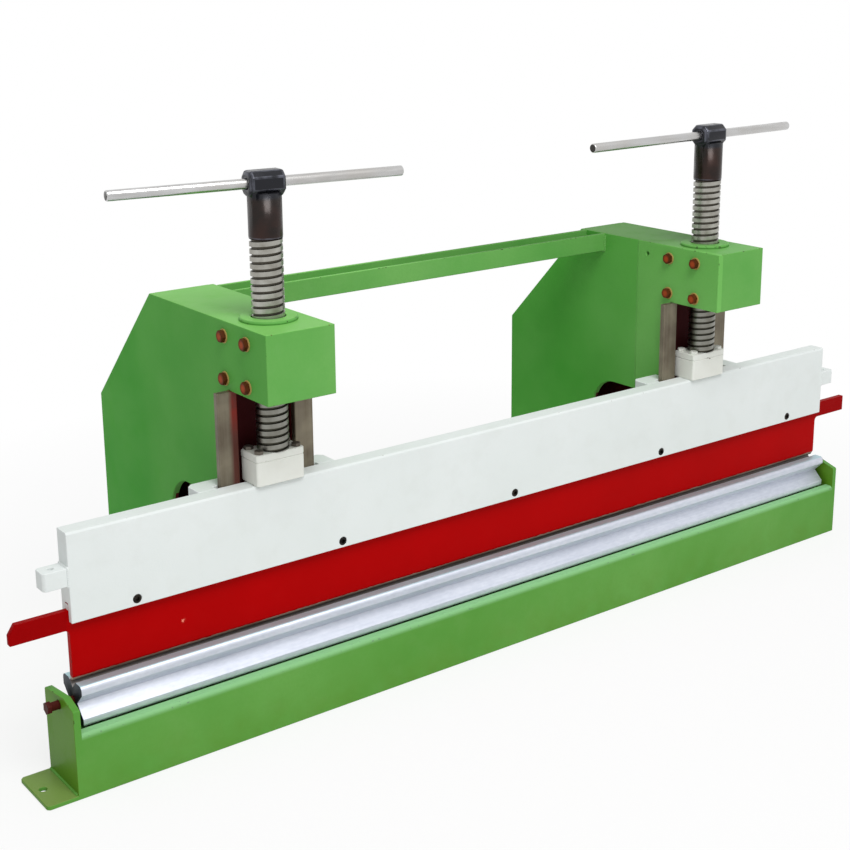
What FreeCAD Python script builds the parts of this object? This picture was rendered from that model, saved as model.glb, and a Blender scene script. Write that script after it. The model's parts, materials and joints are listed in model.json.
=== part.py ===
import FreeCAD, Part
import math
import os

os.makedirs("parts", exist_ok=True)

V = FreeCAD.Vector

# Manual press brake. +X runs along the bending line, +Y to the rear, +Z up, millimetres.
# The origin is on the floor, under the middle of the bending line.

# Bending line and die
bend_length = 1250.0
die_size = 48.0
die_axis_height = 99.0
die_lobe_radius = 5.0
die_root_radius = 1.2
die_groove_top = 18.0
die_groove_front = 28.0
die_groove_bottom = 34.0
die_groove_rear = 22.0
die_pivot_bore_depth = 22.0

# Punch blade
blade_thick = 8.0
blade_tip_angle = 60.0
blade_tip_flat = 0.5
blade_tip_in_die = 0.9
blade_face_height = 65.0
blade_in_ram = 20.0
ear_reach = 67.0
ear_below_ram = 10.0
ear_above_ram_edge = 13.0
ear_corner_length = 7.5
ear_corner_height = 11.5
ear_inner_radius = 6.0

# Ram
ram_thick = 24.0
ram_height = 104.0
ram_front_edge_chamfer = 2.0
blade_slot_clearance = 0.1
blade_slot_headroom = 1.0
lug_reach = 28.5
lug_depth = 22.0
lug_height = 21.0
lug_bottom_above_ram_bottom = 43.0
lug_hole_radius = 3.5
lug_hole_from_ram_end = 15.0
lug_end_chamfer = 3.0

# Clamp screws of the blade
blade_screw_count = 5
blade_screw_pitch = 273.5
blade_screw_above_ram_bottom = 8.0
blade_screw_radius = 3.0
blade_screw_head_radius = 5.0
blade_screw_head_height = 5.0
blade_screw_socket_across = 5.0
blade_screw_socket_depth = 2.5
blade_screw_hole_clearance = 0.3
blade_screw_tip_cover = 1.0

# Thrust block, its cap and bolts
thrust_width = 64.0
thrust_front = 17.0
thrust_rear = 21.0
thrust_block_height = 29.0
thrust_cap_height = 9.0
thrust_edge_chamfer = 2.0
thrust_rim_chamfer = 1.0
thrust_floor = 7.0
thrust_bolt_from_side = 7.0
thrust_bolt_from_face = 6.5
thrust_bolt_radius = 3.0
thrust_bolt_across = 10.0
thrust_bolt_head_height = 4.0
thrust_bolt_length = 22.0

# Screw, thrust button and nut
screw_radius = 19.0
screw_root_radius = 16.5
screw_pitch = 8.47
screw_crest_share = 0.31
screw_root_share = 0.39
screw_ridge_sunk = 0.6
screw_top_above_head = 92.5
screw_neck_radius = 8.0
screw_button_radius = 13.5
screw_spigot_radius = 12.0
screw_spigot_height = 37.5
screw_shoulder_gap = 0.3
nut_radius = 30.0
nut_thread_clearance = 0.25
running_gap = 0.3
seat_gap = 0.05

# Hub and handle bars
hub_shank_radius = 19.5
hub_shank_height = 48.5
hub_shank_in_boss = 3.5
hub_boss_length = 44.0
hub_boss_depth = 29.5
hub_boss_height = 29.0
hub_boss_chamfer = 7.0
hub_boss_end_chamfer = 3.0
hub_base_chamfer = 1.5
handle_radius = 6.0
handle_end_chamfer = 1.0
left_handle_length = 358.0
right_handle_length = 404.0
left_handle_offset = -3.0
right_handle_offset = -29.0
left_handle_angle = -6.6
right_handle_angle = 2.4

# Frames
frame_spacing = 720.0
frame_width = 90.0
frame_plate = 8.0
head_reach = 68.0
head_height = 81.0
head_gap_above_stroke = 3.0
stroke_up = 70.0
column_plate_front = 36.0
crown_rear = 208.0
frame_rear = 368.0
back_shoulder_height = 326.0
arm_underside = 266.0
throat_depth = 175.0
throat_radius = 45.0
throat_low_radius = 30.0
side_hole_radius = 3.0
side_hole_behind_line = 68.0
side_hole_below_top = 17.0

# Nut block, its bolts and the collar ring
nut_block_depth = 96.0
nut_block_height = 60.0
nut_block_above_head_bottom = 8.0
nut_bolt_spacing = 50.0
nut_bolt_radius = 4.0
nut_bolt_across = 13.0
nut_bolt_head_height = 5.3
nut_bolt_washer_radius = 8.5
nut_bolt_washer_thick = 1.2
nut_bolt_gap_to_nut = 2.0
collar_radius = 34.0
collar_height = 4.0
collar_chamfer = 1.5
collar_bore_clearance = 1.0

# Guide bars and keepers
guide_span = 128.0
guide_bar_width = 26.0
guide_bar_thick = 8.0
guide_bar_chamfer = 1.0
keeper_span = 186.0
keeper_thick = 12.0
keeper_slot_gap = 6.0
keeper_rear = 43.3
keeper_column_gap = 1.0
keeper_corner = 6.0

# Bed
bed_half_depth = 38.0
bed_height = 76.0
bed_plate = 13.5
bed_floor = 10.0
bed_edge_chamfer = 3.0
rail_width = 20.0
rail_gap_under_die = 0.4
end_plate = 8.0
end_plate_gap = 9.0
end_plate_peak = 112.0
end_plate_peak_ahead = 14.0
end_plate_shoulder = 105.0
end_plate_corner_radius = 3.0
foot_length = 36.0
foot_thick = 5.0
foot_hole_radius = 4.5
foot_hole_from_plate = 25.0
foot_corner = 3.0

# Pivot bolts of the die
pivot_radius = 5.0
pivot_reach = 20.0
pivot_bore_clearance = 0.05
pivot_head_across = 13.0
pivot_head_height = 5.0
pivot_head_from_plate = 10.0

# Rear beam
beam_front = 156.0
beam_depth = 44.0
beam_height = 26.0
beam_wall = 5.0

# Hexagon heads and nuts, and how far a cutting shape stands past what it cuts
hex_crown_slope = 0.9
hex_crown_share = 0.92
cut_over = 1.0

# Heights and planes that follow from the sizes above
half_line = bend_length / 2
die_top = die_axis_height + die_size / 2
blade_tip = die_top - blade_tip_in_die
half_tip = math.radians(blade_tip_angle / 2)
blade_bevel = (blade_thick / 2 - blade_tip_flat / 2) / math.tan(half_tip)
blade_face_bottom = blade_tip + blade_bevel
ram_bottom = blade_face_bottom + blade_face_height
ram_top = ram_bottom + ram_height
cap_bottom = ram_top + thrust_block_height
cap_top = cap_bottom + thrust_cap_height
head_bottom = cap_top + stroke_up + head_gap_above_stroke
head_top = head_bottom + head_height
nut_block_bottom = head_bottom + nut_block_above_head_bottom
screw_shoulder = cap_top + screw_shoulder_gap
screw_top = head_top + screw_top_above_head
hub_boss_bottom = screw_top + hub_shank_height
handle_height = hub_boss_bottom + hub_boss_height / 2
ram_rear = ram_thick / 2
guide_front = ram_rear + running_gap
column_front = guide_front + guide_bar_thick
frame_axis = frame_spacing / 2
inner_half_width = frame_width / 2 - frame_plate
end_plate_inner = half_line + end_plate_gap
end_plate_outer = end_plate_inner + end_plate
die_half = die_size / 2
die_swing_radius = math.hypot(die_half - die_lobe_radius, die_half - die_lobe_radius) + die_lobe_radius
rail_top = die_axis_height - die_swing_radius - rail_gap_under_die

SIDES = (("left", -1), ("right", 1))
handle_length = {"left": left_handle_length, "right": right_handle_length}
handle_offset = {"left": left_handle_offset, "right": right_handle_offset}
handle_angle = {"left": left_handle_angle, "right": right_handle_angle}


def save(node, shape):
    """Write one named piece and say what it measures."""
    shape.exportStep("parts/" + node + ".step")
    box = shape.BoundBox
    size = "%.1f x %.1f x %.1f" % (box.XLength, box.YLength, box.ZLength)
    print(node, "solids", len(shape.Solids), "valid", shape.isValid(), size)


def block(x0, x1, y0, y1, z0, z1):
    """A box between two X, two Y and two Z values, in either order."""
    low = V(min(x0, x1), min(y0, y1), min(z0, z1))
    return Part.makeBox(abs(x1 - x0), abs(y1 - y0), abs(z1 - z0), low)


def rod(radius, start, end):
    """A round bar from one point to another."""
    along = end - start
    return Part.makeCylinder(radius, along.Length, start, along)


def disc_stack(radius, z0, z1, x, y=0.0):
    """An upright cylinder between two heights."""
    return Part.makeCylinder(radius, z1 - z0, V(x, y, z0))


def hexagon(across, height, base, along):
    """A hexagonal prism with its flats the given size apart."""
    corner = across / math.sqrt(3)
    turns = [math.radians(60 * k) for k in range(7)]
    points = [V(corner * math.cos(a), corner * math.sin(a), 0) for a in turns]
    prism = Part.Face(Part.makePolygon(points)).extrude(V(0, 0, height))
    crown = Part.makeCone(corner + height * hex_crown_slope, corner * hex_crown_share, height, V(0, 0, 0))
    prism = prism.common(crown)
    prism.Placement = FreeCAD.Placement(base, FreeCAD.Rotation(V(0, 0, 1), along))
    return prism


def side_profile(points, x0, x1):
    """A flat outline of (y, z) points, carried along X from x0 to x1."""
    low = min(x0, x1)
    ring = [V(low, y, z) for y, z in points]
    face = Part.Face(Part.makePolygon(ring + ring[:1]))
    return face.extrude(V(abs(x1 - x0), 0, 0))


def edges_where(shape, test):
    """The straight edges whose middle and direction pass a test."""
    chosen = []
    for edge in shape.Edges:
        first = edge.Vertexes[0].Point
        last = edge.Vertexes[-1].Point
        middle = (first + last) * 0.5
        if test(middle, last - first):
            chosen.append(edge)
    return chosen


def near(a, b):
    return abs(a - b) < 0.01


def along_x(direction):
    return near(direction.y, 0) and near(direction.z, 0)


def along_y(direction):
    return near(direction.x, 0) and near(direction.z, 0)


def along_z(direction):
    return near(direction.x, 0) and near(direction.y, 0)


def bent_strip(corners, thick):
    """Outline of a plate that follows three (y, z) corners, its thickness on the left of the path."""
    (y0, z0), (y1, z1), (y2, z2) = corners
    first = math.atan2(z1 - z0, y1 - y0)
    second = math.atan2(z2 - z1, y2 - y1)
    half_turn = (second - first) / 2
    middle = (first + second) / 2 + math.pi / 2
    reach = thick / math.cos(half_turn)
    inner_corner = (y1 + reach * math.cos(middle), z1 + reach * math.sin(middle))
    start = (y0 + thick * math.cos(first + math.pi / 2), z0 + thick * math.sin(first + math.pi / 2))
    rise = (z2 - inner_corner[1]) / math.sin(second)
    end = (inner_corner[0] + rise * math.cos(second), z2)
    return [corners[0], corners[1], corners[2], end, inner_corner, start]


def make_die():
    """Four-way die: a square bar with a 90 degree groove of another width in each face."""
    bar = block(-half_line, half_line, -die_half, die_half, die_axis_height - die_half, die_top)
    corners = edges_where(bar, lambda middle, direction: along_x(direction))
    bar = bar.makeFillet(die_lobe_radius, corners)
    centre = V(0, 0, die_axis_height)
    grooves = (die_groove_top, die_groove_front, die_groove_bottom, die_groove_rear)
    for face, width in enumerate(grooves):
        root = die_top - width / 2
        over = die_root_radius
        wedge = [(-width / 2 - over, die_top + over), (0, root), (width / 2 + over, die_top + over)]
        cut = side_profile(wedge, -half_line - over, half_line + over)
        lift = die_root_radius * math.sqrt(2)
        start = V(-half_line - over, 0, root + lift)
        relief = rod(die_root_radius, start, V(half_line + over, 0, root + lift))
        cut = cut.fuse(relief)
        cut.rotate(centre, V(1, 0, 0), 360 * face / len(grooves))
        bar = bar.cut(cut)
    for side, sign in SIDES:
        mouth = V(sign * half_line, 0, die_axis_height)
        deep = V(sign * (half_line - die_pivot_bore_depth), 0, die_axis_height)
        bar = bar.cut(rod(pivot_radius + pivot_bore_clearance, mouth, deep))
    save("die", bar)


def make_pivots():
    """Pivot bolts that pass through the end plates into the die."""
    for side, sign in SIDES:
        head_under = end_plate_outer + pivot_head_from_plate
        tip = V(sign * (half_line - pivot_reach), 0, die_axis_height)
        under_head = V(sign * head_under, 0, die_axis_height)
        outward = V(sign, 0, 0)
        bolt = rod(pivot_radius, tip, under_head)
        head = hexagon(pivot_head_across, pivot_head_height, under_head, outward)
        save(side + "_pivot_bolt", bolt.fuse(head).removeSplitter())


def make_blade():
    """Punch blade: a flat bar with a bevelled tip below, and a narrower ear past each end of the ram."""
    half = blade_thick / 2
    flat = blade_tip_flat / 2
    top = ram_bottom + blade_in_ram
    section = [(-flat, blade_tip), (flat, blade_tip), (half, blade_face_bottom), (half, top),
               (-half, top), (-half, blade_face_bottom)]
    blade = side_profile(section, -half_line, half_line)
    ear_low = ram_bottom - ear_below_ram
    ear_high = ram_bottom + ear_above_ram_edge
    ear_end = half_line + ear_reach
    blade = blade.fuse(block(-ear_end, ear_end, -half, half, ear_low, ear_high)).removeSplitter()
    inner = edges_where(blade, lambda middle, direction: along_y(direction)
                        and near(abs(middle.x), half_line) and near(middle.z, ear_low))
    blade = blade.makeFillet(ear_inner_radius, inner)
    corner = [V(-ear_end, -half, ear_high - ear_corner_height),
              V(-ear_end, -half, ear_high + cut_over),
              V(-ear_end + ear_corner_length, -half, ear_high + cut_over),
              V(-ear_end + ear_corner_length, -half, ear_high)]
    wedge = Part.Face(Part.makePolygon(corner + corner[:1])).extrude(V(0, blade_thick, 0))
    blade = blade.cut(wedge)
    for x in screw_places():
        hole_radius = blade_screw_radius + blade_screw_hole_clearance
        blade = blade.cut(rod(hole_radius, V(x, -half, screw_line()), V(x, half, screw_line())))
    save("punch_blade", blade)


def screw_line():
    """Height of the row of clamp screws."""
    return ram_bottom + blade_screw_above_ram_bottom


def screw_places():
    """X of each clamp screw, spread evenly about the middle."""
    first = -(blade_screw_count - 1) / 2
    return [(first + k) * blade_screw_pitch for k in range(blade_screw_count)]


def make_blade_screws():
    """Socket-head screws through the ram's front lip and the blade into its rear lip."""
    screws = []
    front = -ram_thick / 2
    for x in screw_places():
        face = V(x, front, screw_line())
        seat = V(x, front + blade_screw_head_height, screw_line())
        end = V(x, ram_thick / 2 - blade_screw_tip_cover, screw_line())
        screw = rod(blade_screw_head_radius, face, seat).fuse(rod(blade_screw_radius, seat, end))
        socket = hexagon(blade_screw_socket_across, blade_screw_socket_depth, face, V(0, 1, 0))
        screws.append(screw.cut(socket))
    save("blade_screws", Part.makeCompound(screws))


def make_ram():
    """Ram plate with a slot for the blade along its lower edge, and a lug on each end."""
    half = ram_thick / 2
    ram = block(-half_line, half_line, -half, half, ram_bottom, ram_top)
    front_edges = edges_where(ram, lambda middle, direction: along_x(direction)
                              and near(middle.z, ram_top) and near(middle.y, -half))
    ram = ram.makeChamfer(ram_front_edge_chamfer, front_edges)
    slot_half = blade_thick / 2 + blade_slot_clearance
    slot_top = ram_bottom + blade_in_ram + blade_slot_headroom
    ram = ram.cut(block(-half_line, half_line, -slot_half, slot_half, ram_bottom, slot_top))
    for x in screw_places():
        face = V(x, -half, screw_line())
        seat = V(x, -half + blade_screw_head_height, screw_line())
        end = V(x, half - blade_screw_tip_cover, screw_line())
        ram = ram.cut(rod(blade_screw_head_radius + blade_screw_hole_clearance, face, seat))
        ram = ram.cut(rod(blade_screw_radius + seat_gap, seat, end))
    save("ram_plate", ram)
    low = ram_bottom + lug_bottom_above_ram_bottom
    for side, sign in SIDES:
        end = sign * (half_line + lug_reach)
        lug = block(sign * half_line, end, -lug_depth / 2, lug_depth / 2, low, low + lug_height)
        outer = edges_where(lug, lambda middle, direction: along_z(direction) and near(middle.x, end))
        lug = lug.makeChamfer(lug_end_chamfer, outer)
        hole_x = sign * (half_line + lug_hole_from_ram_end)
        save(side + "_lug", lug.cut(disc_stack(lug_hole_radius, low, low + lug_height, hole_x)))


def thrust_bolt_places(axis):
    """Corners of the cap where its four bolts stand."""
    dx = thrust_width / 2 - thrust_bolt_from_side
    rows = (thrust_bolt_from_face - thrust_front, thrust_rear - thrust_bolt_from_face)
    return [V(axis + i * dx, y, 0) for i in (-1, 1) for y in rows]


def upright_edges(shape):
    return edges_where(shape, lambda middle, direction: along_z(direction))


def make_thrust(side, axis):
    """Thrust block that the screw pushes on, and the cap that lets the screw lift the ram."""
    x0 = axis - thrust_width / 2
    x1 = axis + thrust_width / 2
    body = block(x0, x1, -thrust_front, thrust_rear, ram_top, cap_bottom)
    body = body.makeChamfer(thrust_edge_chamfer, upright_edges(body))
    pocket_floor = ram_top + thrust_floor
    body = body.cut(disc_stack(screw_button_radius + running_gap, pocket_floor, cap_bottom, axis))
    cap = block(x0, x1, -thrust_front, thrust_rear, cap_bottom, cap_top)
    cap = cap.makeChamfer(thrust_edge_chamfer, upright_edges(cap))
    rim = edges_where(cap, lambda middle, direction: near(middle.z, cap_top))
    cap = cap.makeChamfer(thrust_rim_chamfer, rim)
    cap = cap.cut(disc_stack(screw_neck_radius + running_gap, cap_bottom, cap_top, axis))
    bolts = []
    bolt_low = cap_top - thrust_bolt_length
    for place in thrust_bolt_places(axis):
        hole = disc_stack(thrust_bolt_radius + seat_gap, bolt_low, cap_top, place.x, place.y)
        body = body.cut(hole)
        cap = cap.cut(hole)
        shank = disc_stack(thrust_bolt_radius, bolt_low, cap_top, place.x, place.y)
        head = hexagon(thrust_bolt_across, thrust_bolt_head_height, V(place.x, place.y, cap_top), V(0, 0, 1))
        bolts.append(shank.fuse(head).removeSplitter())
    save(side + "_thrust_block", body)
    save(side + "_thrust_cap", cap)
    save(side + "_cap_bolts", Part.makeCompound(bolts))


def thread_ridge(length):
    """Right-hand trapezoidal thread ridge from height 0, one pitch of run-out at each end."""
    root = screw_root_radius
    inner = root - screw_ridge_sunk
    crest = screw_pitch * screw_crest_share
    foot = screw_pitch * screw_root_share
    helix = Part.makeHelix(screw_pitch, length + 2 * screw_pitch, root)
    outline = [V(inner, 0, -foot), V(screw_radius, 0, -crest), V(screw_radius, 0, crest), V(inner, 0, foot)]
    profile = Part.makePolygon(outline + outline[:1])
    ridge = Part.Wire(helix.Edges).makePipeShell([profile], True, True)
    ridge.translate(V(0, 0, -screw_pitch))
    return ridge


def make_screw(side, axis):
    """Main screw with its thread, a neck through the cap and a spigot in the hub."""
    length = screw_top - screw_shoulder
    button_bottom = ram_top + thrust_floor + running_gap
    neck = disc_stack(screw_neck_radius, button_bottom, screw_shoulder, 0)
    spigot = disc_stack(screw_spigot_radius, screw_top, screw_top + screw_spigot_height, 0)
    core = disc_stack(screw_root_radius, screw_shoulder, screw_top, 0)
    ridge = thread_ridge(length).common(Part.makeCylinder(screw_radius + cut_over, length))
    ridge.translate(V(0, 0, screw_shoulder))
    screw = core.fuse(ridge).Solids[0]
    screw = screw.fuse(neck).Solids[0]
    screw = screw.fuse(spigot).Solids[0]
    screw.translate(V(axis, 0, 0))
    save(side + "_screw", screw)
    button = disc_stack(screw_button_radius, button_bottom, cap_bottom - running_gap, axis)
    button = button.cut(disc_stack(screw_neck_radius + seat_gap, button_bottom, cap_bottom, axis))
    save(side + "_thrust_button", button)


def turned(shape, side, axis):
    """Turn a shape made along X about the screw's axis to this side's handle direction."""
    shape.rotate(V(axis, 0, 0), V(0, 0, 1), handle_angle[side])
    return shape


def make_hub(side, axis):
    """Hub: a round shank on the screw under a bevelled cross boss that carries the handle bar."""
    dx = hub_boss_length / 2
    dy = hub_boss_depth / 2
    boss = block(axis - dx, axis + dx, -dy, dy, hub_boss_bottom, hub_boss_bottom + hub_boss_height)
    long_edges = edges_where(boss, lambda middle, direction: along_x(direction))
    boss = boss.makeChamfer(hub_boss_chamfer, long_edges)
    end_edges = edges_where(boss, lambda middle, direction: near(abs(middle.x - axis), dx))
    boss = boss.makeChamfer(hub_boss_end_chamfer, end_edges)
    shank = disc_stack(hub_shank_radius, screw_top, hub_boss_bottom + hub_shank_in_boss, axis)
    base = [edge for edge in shank.Edges if near(edge.BoundBox.ZMax, screw_top)]
    shank = shank.makeChamfer(hub_base_chamfer, base)
    hub = shank.fuse(boss).removeSplitter()
    bore_top = screw_top + screw_spigot_height + seat_gap
    hub = hub.cut(disc_stack(screw_spigot_radius + seat_gap, screw_top, bore_top, axis))
    hole = rod(handle_radius + running_gap, V(axis - dx, 0, handle_height), V(axis + dx, 0, handle_height))
    save(side + "_hub", turned(hub.cut(hole), side, axis))
    middle = axis + handle_offset[side]
    half = handle_length[side] / 2
    bar = rod(handle_radius, V(middle - half, 0, handle_height), V(middle + half, 0, handle_height))
    rims = [edge for edge in bar.Edges if near(abs(edge.BoundBox.Center.x - middle), half)]
    save(side + "_handle_bar", turned(bar.makeChamfer(handle_end_chamfer, rims), side, axis))


def nut_bolt_tip():
    """How far from the screw's axis the tips of the nut block bolts stand, clear of the nut."""
    return math.sqrt((nut_radius + nut_bolt_gap_to_nut) ** 2 - (nut_bolt_spacing / 2 - nut_bolt_radius) ** 2)


def nut_bolt_places():
    """(y, z) of the bolts that hold the nut block."""
    middle = nut_block_bottom + nut_block_height / 2
    half = nut_bolt_spacing / 2
    return [(i * half, middle + j * half) for i in (-1, 1) for j in (-1, 1)]


def frame_outline():
    """Side view of a C frame as (y, z) points, the throat's round corners left for fillets."""
    foot = bed_half_depth
    return [(foot, 0), (frame_rear, 0), (frame_rear, back_shoulder_height), (crown_rear, head_top),
            (-head_reach, head_top), (-head_reach, head_bottom), (column_front, head_bottom),
            (column_front, arm_underside), (throat_depth, arm_underside), (throat_depth, bed_height),
            (foot, bed_height)]


def make_side_plate(node, x0, x1, with_hole):
    """One C-shaped side plate with holes for the nut block bolts."""
    plate = side_profile(frame_outline(), x0, x1)
    upper = edges_where(plate, lambda middle, direction: along_x(direction)
                        and near(middle.y, throat_depth) and near(middle.z, arm_underside))
    plate = plate.makeFillet(throat_radius, upper)
    lower = edges_where(plate, lambda middle, direction: along_x(direction)
                        and near(middle.y, throat_depth) and near(middle.z, bed_height))
    plate = plate.makeFillet(throat_low_radius, lower)
    for y, z in nut_bolt_places():
        plate = plate.cut(rod(nut_bolt_radius + seat_gap, V(x0, y, z), V(x1, y, z)))
    if with_hole:
        hole_z = head_top - side_hole_below_top
        plate = plate.cut(rod(side_hole_radius, V(x0, side_hole_behind_line, hole_z),
                              V(x1, side_hole_behind_line, hole_z)))
    save(node, plate)


def make_frame(side, sign):
    """Box frame: two side plates joined by a head front, top, back and column front plate."""
    axis = sign * frame_axis
    far_plate = frame_width / 2
    outer = (axis + sign * inner_half_width, axis + sign * far_plate)
    inner = (axis - sign * inner_half_width, axis - sign * far_plate)
    make_side_plate(side + "_outer_side_plate", outer[0], outer[1], False)
    make_side_plate(side + "_inner_side_plate", inner[0], inner[1], side == "right")
    x0 = axis - inner_half_width
    x1 = axis + inner_half_width
    front = block(x0, x1, -head_reach, -head_reach + frame_plate, head_bottom, head_top)
    save(side + "_head_front_plate", front)
    slope = (frame_rear - crown_rear) / (head_top - back_shoulder_height)
    under_top = head_top - frame_plate
    rear_under_top = crown_rear + frame_plate * slope
    roof = [(-head_reach + frame_plate, under_top), (rear_under_top, under_top),
            (crown_rear, head_top), (-head_reach + frame_plate, head_top)]
    top = side_profile(roof, x0, x1)
    top = top.cut(disc_stack(screw_radius + collar_bore_clearance, under_top, head_top, axis))
    save(side + "_top_plate", top)
    back = [(frame_rear, 0), (frame_rear, back_shoulder_height), (rear_under_top, under_top)]
    save(side + "_back_plate", side_profile(bent_strip(back, frame_plate), x0, x1))
    column_rear = column_plate_front + frame_plate
    column = block(x0, x1, column_plate_front, column_rear, arm_underside, nut_block_bottom)
    save(side + "_column_front_plate", column)


def make_nut(side, axis):
    """Nut block between the side plates, its bronze nut, bolts, and the collar ring on the head."""
    half_depth = nut_block_depth / 2
    low = nut_block_bottom
    high = low + nut_block_height
    body = block(axis - inner_half_width, axis + inner_half_width, -half_depth, half_depth, low, high)
    body = body.cut(disc_stack(nut_radius + seat_gap, low, high, axis))
    bolts = []
    for sign in (-1, 1):
        outward = V(sign, 0, 0)
        face = axis + sign * frame_width / 2
        tip = axis + sign * nut_bolt_tip()
        for y, z in nut_bolt_places():
            washer_end = face + sign * nut_bolt_washer_thick
            body = body.cut(rod(nut_bolt_radius + seat_gap, V(tip, y, z), V(face, y, z)))
            shank = rod(nut_bolt_radius, V(tip, y, z), V(washer_end, y, z))
            washer = rod(nut_bolt_washer_radius, V(face, y, z), V(washer_end, y, z))
            head = hexagon(nut_bolt_across, nut_bolt_head_height, V(washer_end, y, z), outward)
            bolts.append(shank.fuse([washer, head]).removeSplitter())
    save(side + "_nut_block", body)
    save(side + "_nut_bolts", Part.makeCompound(bolts))
    nut = disc_stack(nut_radius, low, high, axis)
    save(side + "_screw_nut", nut.cut(disc_stack(screw_radius + nut_thread_clearance, low, high, axis)))
    ring = disc_stack(collar_radius, head_top, head_top + collar_height, axis)
    rim = [edge for edge in ring.Edges if near(edge.BoundBox.ZMin, head_top + collar_height)]
    ring = ring.makeChamfer(collar_chamfer, rim)
    bore = disc_stack(screw_radius + collar_bore_clearance, head_top, head_top + collar_height, axis)
    save(side + "_collar_ring", ring.cut(bore))


def make_guides(side, sign):
    """Guide bars on the side plates' front edges, and the keepers on the ram that hook behind them."""
    axis = sign * frame_axis
    for name, out in (("outer", sign), ("inner", -sign)):
        bar_out = axis + out * guide_span / 2
        bar_in = axis + out * (guide_span / 2 - guide_bar_width)
        bar = block(bar_in, bar_out, guide_front, column_front, arm_underside, head_bottom)
        front_edges = edges_where(bar, lambda middle, direction: along_z(direction)
                                  and near(middle.y, guide_front))
        save(side + "_" + name + "_guide_bar", bar.makeChamfer(guide_bar_chamfer, front_edges))
        hook_front = column_front + running_gap
        hook_in = axis + out * (frame_width / 2 + keeper_column_gap)
        keeper_in = axis + out * (guide_span / 2 + keeper_slot_gap)
        keeper_out = axis + out * keeper_span / 2
        low = ram_top - keeper_thick
        keeper = block(keeper_in, keeper_out, ram_rear, keeper_rear, low, ram_top)
        keeper = keeper.fuse(block(hook_in, keeper_out, hook_front, keeper_rear, low, ram_top))
        keeper = keeper.removeSplitter()
        corner = edges_where(keeper, lambda middle, direction: along_z(direction)
                             and near(middle.x, keeper_out) and near(middle.y, keeper_rear))
        save(side + "_" + name + "_keeper", keeper.makeChamfer(keeper_corner, corner))


def make_bed():
    """Bed: front and rear plates, floor, die rail, and end plates, the left one with a foot."""
    x = end_plate_inner
    inside = bed_half_depth - bed_plate
    front = block(-x, x, -bed_half_depth, -inside, 0, bed_height)
    top_edges = edges_where(front, lambda middle, direction: along_x(direction)
                            and near(middle.z, bed_height) and near(middle.y, -bed_half_depth))
    save("bed_front_plate", front.makeChamfer(bed_edge_chamfer, top_edges))
    save("bed_rear_plate", block(-x, x, inside, bed_half_depth, 0, bed_height))
    save("bed_floor_plate", block(-x, x, -inside, inside, 0, bed_floor))
    save("die_rail", block(-x, x, -rail_width / 2, rail_width / 2, bed_floor, rail_top))
    gable = [(-bed_half_depth, 0), (bed_half_depth, 0), (bed_half_depth, end_plate_shoulder),
             (-end_plate_peak_ahead, end_plate_peak), (-bed_half_depth, end_plate_shoulder)]
    for side, sign in SIDES:
        outer = sign * end_plate_outer
        plate = side_profile(gable, sign * x, outer)
        shoulders = edges_where(plate, lambda middle, direction: along_x(direction)
                                and near(middle.z, end_plate_shoulder))
        plate = plate.makeFillet(end_plate_corner_radius, shoulders)
        if side == "left":
            plate = plate.fuse(make_foot(sign)).removeSplitter()
        start = V(sign * x, 0, die_axis_height)
        plate = plate.cut(rod(pivot_radius + seat_gap, start, V(outer, 0, die_axis_height)))
        save(side + "_end_plate", plate)


def make_foot(sign):
    """Flat foot outside an end plate, with one bolt hole."""
    inner = sign * end_plate_outer
    end = sign * (end_plate_outer + foot_length)
    foot = block(inner, end, -bed_half_depth, bed_half_depth, 0, foot_thick)
    corners = edges_where(foot, lambda middle, direction: along_z(direction) and near(middle.x, end))
    foot = foot.makeChamfer(foot_corner, corners)
    hole_x = sign * (end_plate_outer + foot_hole_from_plate)
    return foot.cut(disc_stack(foot_hole_radius, 0, foot_thick, hole_x))


def make_rear_beam():
    """Upward-open channel between the inner side plates of the two frames."""
    rear = beam_front + beam_depth
    low = head_top - beam_height
    section = [(beam_front, head_top), (beam_front, low), (rear, low), (rear, head_top),
               (rear - beam_wall, head_top), (rear - beam_wall, low + beam_wall),
               (beam_front + beam_wall, low + beam_wall), (beam_front + beam_wall, head_top)]
    x = frame_axis - frame_width / 2
    save("rear_beam", side_profile(section, -x, x))


make_die()
make_pivots()
make_blade()
make_blade_screws()
make_ram()
make_bed()
make_rear_beam()
for side_name, side_sign in SIDES:
    side_axis = side_sign * frame_axis
    make_frame(side_name, side_sign)
    make_nut(side_name, side_axis)
    make_guides(side_name, side_sign)
    make_thrust(side_name, side_axis)
    make_screw(side_name, side_axis)
    make_hub(side_name, side_axis)
print("at rest: ram top %.1f, head from %.1f to %.1f" % (ram_top, head_bottom, head_top))
print("handle bars at %.1f" % handle_height)
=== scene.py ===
# %% [markdown]
# # A manual press brake
# This bench tool folds sheet metal. Two screws with cross handles press a white ram plate down, and
# the red punch blade in it pushes the sheet into a groove of the four-sided die that lies in the
# green bed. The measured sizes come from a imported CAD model, which the script loads first and never
# changes. The lesson dresses that model: corners get small rounds, bolts get real heads, joints get
# weld beads, and each surface gets its paint or its bare metal.

import json
import math

import bmesh
import bpy
from mathutils import Matrix, Vector


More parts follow.
